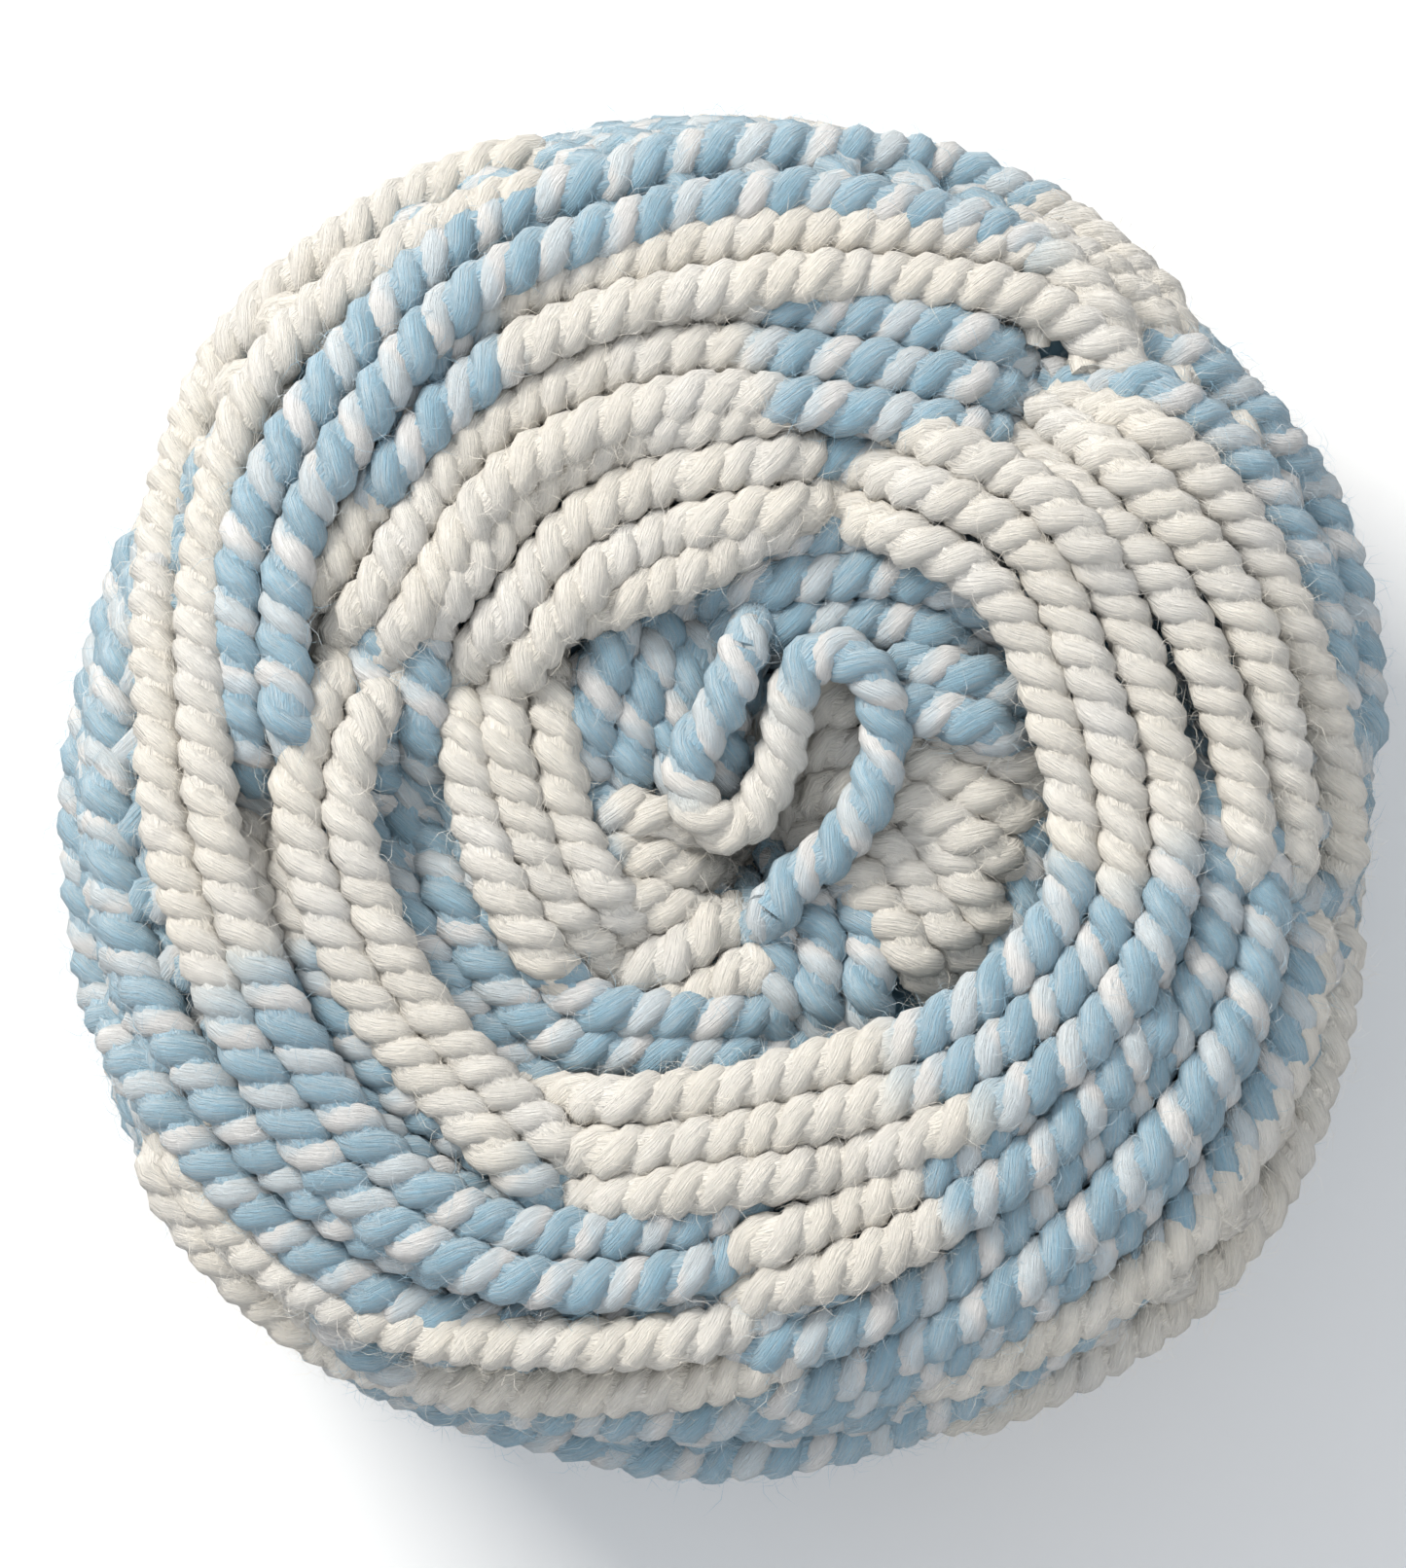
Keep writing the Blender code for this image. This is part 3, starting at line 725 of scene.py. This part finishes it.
def yarn_material(size):
    """Soft matt acrylic: fine fibres along each ply, one ply turning light blue; the grooves
    between the plies get painted bluish shade and painted light.
    """
    material, tree, shader = new_material("soft two-ply yarn")

    def attribute(name, output):
        return add_node(tree, "ShaderNodeAttribute", {"attribute_name": name}, None, output)

    around = attribute("round", 1)
    along = attribute("along", 2)
    tint = attribute("tint", 2)
    shade = attribute("shade", 2)

    def streaks(stretch, scale, detail):
        lengthwise = add_node(tree, "ShaderNodeCombineXYZ", None, {2: along * stretch})
        where = vector_math(tree, "ADD", around, lengthwise)
        return add_node(tree, "ShaderNodeTexNoise", {"noise_dimensions": "3D"},
                        {"Vector": where, "Scale": scale, "Detail": detail, "Roughness": 0.65})

    broad = streaks(0.16, 2.6, 3.0)
    fine = streaks(0.10, 8.0, 4.0)
    cloud = add_node(tree, "ShaderNodeTexNoise", {"noise_dimensions": "1D"},
                     {"W": along, "Scale": 0.06, "Detail": 2.0})
    white = (*size.white, 1.0)
    cream = (*size.cream, 1.0)
    blue = (*size.blue, 1.0)
    marl = attribute("blue", 2)
    # Mask of the grooves, where a ply's surface faces in towards the other ply; it drives painted
    # shade and painted light there.
    groove_mingling_and_painted_light = add_node(tree, "ShaderNodeMapRange", {"interpolation_type": "SMOOTHSTEP"},
                      {"Value": attribute("outer", 2), "From Min": 0.75, "From Max": -0.1})
    warm = (0.25 + cloud * 1.3) * (1.0 - marl * 0.75)
    pale = mix_colour(tree, "MIX", warm, white, cream)
    # In the grooves each ply takes on part of the other ply's colour: partly the fibres mingling,
    # partly a painted bluish shade in the crevices.
    mingled_and_painted_shade = tint + (0.75 * marl - tint) * (groove_mingling_and_painted_light * 0.45)
    patchy = mingled_and_painted_shade * (1.0 + (fine - 0.5) * 1.6)
    dyed_and_painted_shade = mix_colour(tree, "MIX", patchy, pale, blue)
    # The term that grows in the grooves is painted light: it makes them a little lighter where
    # shade falls, in place of light passing through the fibres. The streaks and the random tone
    # per strand are the yarn's own.
    brightness_with_painted_light = 0.64 + broad * 0.20 + fine * 0.56 + groove_mingling_and_painted_light * 0.06 + (shade - 0.5) * 0.06
    grey = add_node(tree, "ShaderNodeCombineColor", None, {0: brightness_with_painted_light, 1: brightness_with_painted_light, 2: brightness_with_painted_light})
    colour = mix_colour(tree, "MULTIPLY", 1.0, dyed_and_painted_shade, grey)
    tree.links.new(colour.socket, shader.inputs["Base Color"])
    bump = add_node(tree, "ShaderNodeBump", None,
                    {"Strength": 1.0, "Distance": 0.0013, "Height": broad * 0.4 + fine})
    tree.links.new(bump.socket, shader.inputs["Normal"])
    return material


def core_material(size):
    """The yarn seen deep between the strands, its blue darkened as painted shade."""
    material, tree, shader = new_material("yarn in the depth of the ball")
    spot = add_node(tree, "ShaderNodeTexCoord", output=3)
    grain = add_node(tree, "ShaderNodeTexNoise", None,
                     {"Vector": spot, "Scale": 260.0, "Detail": 4.0})
    # Painted shade: the blue darkened to 0.62 of itself stands in for the shade deep between the
    # strands; the grain mixes it back towards the full blue.
    deep = tuple(0.62 * c for c in size.blue)
    colour = mix_colour(tree, "MIX", grain, (*deep, 1.0), (*size.blue, 1.0))
    tree.links.new(colour.socket, shader.inputs["Base Color"])
    bump = add_node(tree, "ShaderNodeBump", None,
                    {"Strength": 0.6, "Distance": 0.0008, "Height": grain})
    tree.links.new(bump.socket, shader.inputs["Normal"])
    return material


# ---- Pieces ----


def core_rows(angle):
    """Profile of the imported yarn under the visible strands, from the top to the underside."""
    top, deep = 6.0, 16.0
    edge = reach(angle) - BULGE - CORNER
    points = []
    for f in np.linspace(0.06, 1.0, 16):
        r = edge * f
        x, y = r * math.cos(angle), r * math.sin(angle)
        z = HEIGHT - DOME * f * f - deep - 1.2 * dip(x, y)
        points.append((r, z))
    for a in np.linspace(0.15, math.pi / 2, 9):
        depth = deep + (top - deep) * float(smooth(a / 1.0))
        points.append((edge + (CORNER - depth) * math.sin(a),
                       Z_TOP + (CORNER_DEPTH - depth) * math.cos(a)))
    for a in np.linspace(math.pi / 2, 0.0, 9):
        points.append((edge + (CORNER - top) * math.sin(a),
                       CORNER_DEPTH - (CORNER_DEPTH - top) * math.cos(a)))
    for f in np.linspace(0.85, 0.1, 6):
        points.append((edge * f, top))
    return points


def make_core(material):
    columns = 72
    verts = []
    for j in range(columns):
        angle = math.tau * j / columns
        for r, z in core_rows(angle):
            verts.append(((r * math.cos(angle) + AXIS[0]) * MM,
                          (r * math.sin(angle) + AXIS[1]) * MM, z * MM))
    rows = len(verts) // columns
    faces = []
    for j in range(columns):
        k = (j + 1) % columns
        for i in range(rows - 1):
            faces.append((j * rows + i, j * rows + i + 1, k * rows + i + 1, k * rows + i))
    faces.append(tuple(j * rows for j in range(columns)))
    faces.append(tuple(j * rows + rows - 1 for j in reversed(range(columns))))
    mesh = bpy.data.meshes.new("core")
    mesh.from_pydata(verts, [], faces)
    mesh.materials.append(material)
    mesh.shade_smooth()
    ob = bpy.data.objects.new("core", mesh)
    bpy.context.scene.collection.objects.link(ob)
    return ob


def loose_line(step):
    """Route of the loose end in metres, resting just clear of the ball's solid."""
    flat = evenly(through(LOOSE_ROUTE, 60), step)
    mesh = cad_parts["ball"].data
    tree = BVHTree.FromPolygons([v.co[:] for v in mesh.vertices],
                                [p.vertices[:] for p in mesh.polygons])
    radius = scene_size().yarn_width / 2
    need = []
    for x, y in flat:
        best = 0.0
        for ring in range(5):
            d = radius * ring / 4
            for k in range(max(1, 6 * ring)):
                turn = math.tau * k / max(1, 6 * ring)
                start = Vector((x + AXIS[0] * MM + d * math.cos(turn),
                                y + AXIS[1] * MM + d * math.sin(turn), 0.2))
                hit = tree.ray_cast(start, Vector((0, 0, -1)))[0]
                best = max(best, hit.z + math.sqrt(radius ** 2 - d ** 2))
        need.append(best + GAP * MM)
    need = np.array(need)
    z = np.maximum(taut(need, int(round(0.00525 / step))), need)
    return np.column_stack([flat[:, 0] + AXIS[0] * MM, flat[:, 1] + AXIS[1] * MM, z])


def lead_strands(step):
    """Guide lines of the yarn inside the ball, up to both ends of the loose end."""
    line = loose_line(LOOSE_STEP) / MM
    pitch = scene_size().twist_pitch / MM
    made = []
    for end, inner in ((line[0], line[3]), (line[-1], line[-4])):
        away = (end - inner) / np.linalg.norm(end - inner)
        t = np.arange(-LEAD_OVERLAP, LEAD_LENGTH + step, step)
        points = end + np.outer(t, (away[0], away[1], 0.0))
        points[:, 2] += away[2] * t * 0.3 - LEAD_DROP * smooth(t / LEAD_LENGTH)
        points = points[::-1]
        n = len(points)
        made.append({"points": points * MM, "ups": np.tile((0.0, 0.0, 1.0), (n, 1)),
                     "blue": np.ones(n), "width": np.linspace(LEAD_THIN, 1.0, n),
                     "phase": -math.tau * t[-1] * 1.25 / pitch, "shade": 0.5})
    return made


def fuzz_tree(material, hair):
    """Geometry nodes that scatter short fibres over the yarn that can be seen."""
    tree = bpy.data.node_groups.new("Short fibres on yarn", "GeometryNodeTree")
    given = add_ports(tree, "Fibres", Yarn="Geometry", Fibres_to_a_square_metre="Float",
                      Shortest="Float", Longest="Float", Seed="Int", Middle="Vector")
    scatter = tree.nodes.new("GeometryNodeDistributePointsOnFaces")
    tree.links.new(given["Yarn"].socket, scatter.inputs["Mesh"])
    tree.links.new(given["Fibres to a square metre"].socket, scatter.inputs["Density"])
    tree.links.new(given["Seed"].socket, scatter.inputs["Seed"])
    points = Value(tree, scatter.outputs["Points"])
    turned = Value(tree, scatter.outputs["Rotation"])
    normal = Value(tree, scatter.outputs["Normal"])

    place = add_node(tree, "GeometryNodeInputPosition")
    outward = vector_math(tree, "SUBTRACT", place, given["Middle"])
    ray = tree.nodes.new("GeometryNodeRaycast")
    lifted = vector_math(tree, "ADD", place, vector_math(tree, "SCALE", normal, 0.0004))
    for key, value in (("Target Geometry", given["Yarn"]), ("Source Position", lifted),
                       ("Ray Direction", outward)):
        tree.links.new(value.socket, ray.inputs[key])
    ray.inputs["Ray Length"].default_value = 0.05
    points = add_node(tree, "GeometryNodeDeleteGeometry", {"domain": "POINT"},
                      {"Geometry": points, "Selection": Value(tree, ray.outputs["Is Hit"])})

    spin = add_node(tree, "FunctionNodeRandomValue", {"data_type": "FLOAT_VECTOR"},
                    {0: (-0.2, -0.25, 0.0), 1: (0.2, 0.16, math.tau), "Seed": 3})
    scale = add_node(tree, "FunctionNodeRandomValue", {"data_type": "FLOAT"},
                     {2: given["Shortest"], 3: given["Longest"], "Seed": 5}, 1)
    fibres = add_node(tree, "GeometryNodeInstanceOnPoints", None,
                      {"Points": points, "Instance": add_node(
                          tree, "GeometryNodeObjectInfo", None, {"Object": hair}, 4),
                       "Rotation": turned})
    fibres = add_node(tree, "GeometryNodeRotateInstances", None,
                      {"Instances": fibres, "Rotation": spin})
    fibres = add_node(tree, "GeometryNodeScaleInstances", None,
                      {"Instances": fibres, "Scale": scale})
    fibres = add_node(tree, "GeometryNodeRealizeInstances", None, {0: fibres})
    fibres = add_node(tree, "GeometryNodeSetMaterial", None, {0: fibres, "Material": material})
    leave = tree.nodes.new("NodeGroupOutput")
    tree.links.new(fibres.socket, leave.inputs[0])
    return tree


def fibre_shape(thick):
    """One bent fibre a metre long, three-sided, with pointed ends, lying along X."""
    verts = [(0.0, 0.0, 0.0)]
    for k in range(3):
        a = math.tau * k / 3
        verts.append((0.45, thick * math.cos(a), thick * math.sin(a) + BENT))
    verts.append((1.0, BENT, 0.0))
    faces = []
    for k in range(3):
        m = (k + 1) % 3
        faces.append((0, 1 + m, 1 + k))
        faces.append((4, 1 + k, 1 + m))
    mesh = bpy.data.meshes.new("one fibre")
    mesh.from_pydata(verts, [], faces)
    return bpy.data.objects.new("one fibre", mesh)


# ---- Settings and operators ----


class YarnBallSize(bpy.types.PropertyGroup):
    """Sizes and colours of the ball of yarn."""

    yarn_width: FloatProperty(
        name="Yarn width", description="Width of the yarn across both plies",
        default=0.0058, min=0.002, max=0.012, subtype="DISTANCE", unit="LENGTH")
    ply_radius: FloatProperty(
        name="Ply radius", description="Half the thickness of one ply",
        default=0.00166, min=0.0005, max=0.004, subtype="DISTANCE", unit="LENGTH")
    ply_offset: FloatProperty(
        name="Ply offset", description="From the middle of the yarn to the middle of a ply",
        default=0.00138, min=0.0003, max=0.004, subtype="DISTANCE", unit="LENGTH")
    filling: FloatProperty(
        name="Filling", description="Radius of the fluff that fills the yarn between its plies",
        default=0.00258, min=0.0005, max=0.004, subtype="DISTANCE", unit="LENGTH")
    twist_pitch: FloatProperty(
        name="Twist pitch", description="Length of one full turn of the plies",
        default=0.0076, min=0.003, max=0.03, subtype="DISTANCE", unit="LENGTH")
    unevenness: FloatProperty(
        name="Unevenness", description="How much the plies swell and thin along their length",
        default=0.35, min=0.0, max=1.0, subtype="FACTOR")
    fibres: IntProperty(
        name="Loose fibres", description="Short fibres to a square metre of yarn surface",
        default=460000, min=0, max=900000)
    white: FloatVectorProperty(
        name="White", description="Colour of the undyed yarn",
        default=(0.87, 0.87, 0.87), size=3, min=0.0, max=1.0, subtype="COLOR")
    cream: FloatVectorProperty(
        name="Cream", description="Warmer stretches of the undyed yarn",
        default=(0.88, 0.835, 0.75), size=3, min=0.0, max=1.0, subtype="COLOR")
    blue: FloatVectorProperty(
        name="Blue", description="Colour of the dyed ply",
        default=(0.27, 0.48, 0.60), size=3, min=0.0, max=1.0, subtype="COLOR")
    seed: IntProperty(name="Seed", description="Start of everything random", default=7)


def scene_size():
    return bpy.context.scene.yarn_ball


def shared_material(name, make):
    found = bpy.data.materials.get(name)
    return found if found else make(scene_size())


class YARN_OT_stage(bpy.types.Operator):
    """Adds the camera, the soft light and the pale floor"""

    bl_idname = "yarn_ball.stage"
    bl_label = "Stage"

    def execute(self, context):
        scene = context.scene
        scene.view_settings.view_transform = "Standard"
        data = bpy.data.cameras.new("camera above")
        data.sensor_width = 36.0
        data.lens = data.sensor_width * CAMERA_AWAY / (PHOTO_ROWS * PHOTO_SCALE * MM)
        data.clip_start = 0.05
        camera = bpy.data.objects.new("camera above", data)
        camera.location = (CAMERA_AIM[0], CAMERA_AIM[1], CAMERA_AIM[2] + CAMERA_AWAY)
        scene.collection.objects.link(camera)
        scene.camera = camera

        mesh = bpy.data.meshes.new("floor")
        w = 3.0
        mesh.from_pydata([(-w, -w, 0), (w, -w, 0), (w, w, 0), (-w, w, 0)], [], [(0, 1, 2, 3)])
        floor = bpy.data.objects.new("floor", mesh)
        scene.collection.objects.link(floor)
        material = bpy.data.materials.new("pale studio floor")
        material.use_nodes = True
        tree = material.node_tree
        spot = add_node(tree, "ShaderNodeTexCoord", output=3)
        grain = add_node(tree, "ShaderNodeTexNoise", None, {"Vector": spot, "Scale": 40.0})
        colour = mix_colour(tree, "MIX", grain, (0.90, 0.90, 0.90, 1.0), (0.92, 0.92, 0.92, 1.0))
        shader = tree.nodes["Principled BSDF"]
        tree.links.new(colour.socket, shader.inputs["Base Color"])
        shader.inputs["Roughness"].default_value = 0.9
        mesh.materials.append(material)

        world = bpy.data.worlds.new("soft studio")
        world.use_nodes = True
        back = world.node_tree.nodes["Background"]
        back.inputs["Color"].default_value = (0.93, 0.96, 1.0, 1.0)
        back.inputs["Strength"].default_value = 0.76
        scene.world = world
        for name, at, power, wide, tone in LIGHTS:
            lamp = bpy.data.lights.new(name, "AREA")
            lamp.energy = power
            lamp.size = wide
            lamp.color = tone
            ob = bpy.data.objects.new(name, lamp)
            ob.location = at
            aim = Vector((0.0, 0.0, 0.06)) - Vector(at)
            ob.rotation_euler = aim.to_track_quat("-Z", "Y").to_euler()
            scene.collection.objects.link(ob)
        return {"FINISHED"}


class YARN_OT_loose_end(bpy.types.Operator):
    """Adds the loose end that lies in the bowl"""

    bl_idname = "yarn_ball.loose_end"
    bl_label = "Loose end"

    def execute(self, context):
        size = scene_size()
        chance = np.random.default_rng(size.seed)
        line = loose_line(LOOSE_STEP)
        n = len(line)
        along = np.linspace(0.0, 1.0, n)
        white = smooth((along - 0.16) / 0.08) * smooth((0.54 - along) / 0.10)
        guide = {"points": line, "ups": np.tile((0.0, 0.0, 1.0), (n, 1)),
                 "blue": 1.0 - white, "width": np.ones(n), "phase": 0.0,
                 "shade": chance.uniform()}
        material = shared_material("soft two-ply yarn", yarn_material)
        ob = add_yarn("loose_end_yarn", [guide], material, size, 12)
        finish_piece(ob, "loose_end")
        return {"FINISHED"}


class YARN_OT_upper(bpy.types.Operator):
    """Winds the bands of strands over the upper end"""

    bl_idname = "yarn_ball.upper"
    bl_label = "Upper end"

    def execute(self, context):
        size = scene_size()
        chance = np.random.default_rng(size.seed + 1)
        material = shared_material("soft two-ply yarn", yarn_material)
        half = size.yarn_width / MM / 2
        bed = Bed()
        deep = deep_strands(bed, half, DEEP_STEP, chance)
        upper = lead_strands(LOOSE_STEP / MM) + upper_strands(bed, half, UPPER_STEP, chance)
        finish_piece(add_yarn("deep_turns", deep, material, size, 6), "ball")
        cut = 11 * len(upper) // 20
        finish_piece(add_yarn("inner_bands", upper[:cut], material, size, 10), "ball")
        finish_piece(add_yarn("outer_bands", upper[cut:], material, size, 10), "ball")
        return {"FINISHED"}


class YARN_OT_side(bpy.types.Operator):
    """Winds the slanting bands of the side"""

    bl_idname = "yarn_ball.side"
    bl_label = "Side"

    def execute(self, context):
        size = scene_size()
        chance = np.random.default_rng(size.seed + 2)
        material = shared_material("soft two-ply yarn", yarn_material)
        strands = side_strands(size.yarn_width / MM / 2, SIDE_STEP, chance)
        cut = len(strands) // 2
        finish_piece(add_yarn("side_bands_a", strands[:cut], material, size, 7), "ball")
        finish_piece(add_yarn("side_bands_b", strands[cut:], material, size, 7), "ball")
        return {"FINISHED"}


class YARN_OT_underside(bpy.types.Operator):
    """Winds the bands of the underside"""

    bl_idname = "yarn_ball.underside"
    bl_label = "Underside"

    def execute(self, context):
        size = scene_size()
        chance = np.random.default_rng(size.seed + 3)
        material = shared_material("soft two-ply yarn", yarn_material)
        strands = under_strands(size.yarn_width / MM / 2, SIDE_STEP, chance)
        finish_piece(add_yarn("underside_bands", strands, material, size, 7), "ball")
        return {"FINISHED"}


class YARN_OT_core(bpy.types.Operator):
    """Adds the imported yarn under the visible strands"""

    bl_idname = "yarn_ball.core"
    bl_label = "Core"

    def execute(self, context):
        material = shared_material("yarn in the depth of the ball", core_material)
        finish_piece(make_core(material), "ball")
        return {"FINISHED"}


class YARN_OT_fibres(bpy.types.Operator):
    """Scatters short loose fibres over the yarn"""

    bl_idname = "yarn_ball.fibres"
    bl_label = "Loose fibres"

    def execute(self, context):
        size = scene_size()
        material = shared_material("soft two-ply yarn", yarn_material)
        hair = fibre_shape(FIBRE_THICK)
        tree = fuzz_tree(material, hair)
        for name, source, seed in (("fibres_inner", "inner_bands", 1),
                                   ("fibres_outer", "outer_bands", 2),
                                   ("fibres_side_a", "side_bands_a", 3),
                                   ("fibres_side_b", "side_bands_b", 4)):
            ob = bpy.data.objects.new(name, bpy.data.objects[source].data.copy())
            context.scene.collection.objects.link(ob)
            share = 1.0 if source.endswith("bands") else SIDE_FIBRES
            plain_mesh(ob, tree, {"Fibres to a square metre": size.fibres * share,
                                  "Shortest": FIBRE_LENGTHS[0],
                                  "Longest": FIBRE_LENGTHS[1], "Seed": seed,
                                  "Middle": tuple(MIDDLE)})
            finish_piece(ob)
        bpy.data.objects.remove(hair)
        return {"FINISHED"}


class YARN_PT_panel(bpy.types.Panel):
    """Sizes, colours and steps of the ball of yarn"""

    bl_idname = "YARN_PT_panel"
    bl_label = "Blanket yarn ball"
    bl_space_type = "VIEW_3D"
    bl_region_type = "UI"
    bl_category = "Yarn"

    def draw(self, context):
        size = context.scene.yarn_ball
        for name in size.__annotations__:
            self.layout.prop(size, name)
        for step in STEPS:
            self.layout.operator(step.bl_idname)


STEPS = (YARN_OT_stage, YARN_OT_loose_end, YARN_OT_core, YARN_OT_upper, YARN_OT_side,
         YARN_OT_underside, YARN_OT_fibres)
CLASSES = (YarnBallSize, *STEPS, YARN_PT_panel)


def register():
    for cls in CLASSES:
        bpy.utils.register_class(cls)
    bpy.types.Scene.yarn_ball = PointerProperty(type=YarnBallSize)


def unregister():
    del bpy.types.Scene.yarn_ball
    for cls in reversed(CLASSES):
        bpy.utils.unregister_class(cls)


def main():
    register()
    bpy.ops.yarn_ball.stage()
    bpy.ops.yarn_ball.loose_end()
    bpy.ops.yarn_ball.core()
    bpy.ops.yarn_ball.upper()
    bpy.ops.yarn_ball.side()
    bpy.ops.yarn_ball.underside()
    bpy.ops.yarn_ball.fibres()


if __name__ == "__main__":
    main()
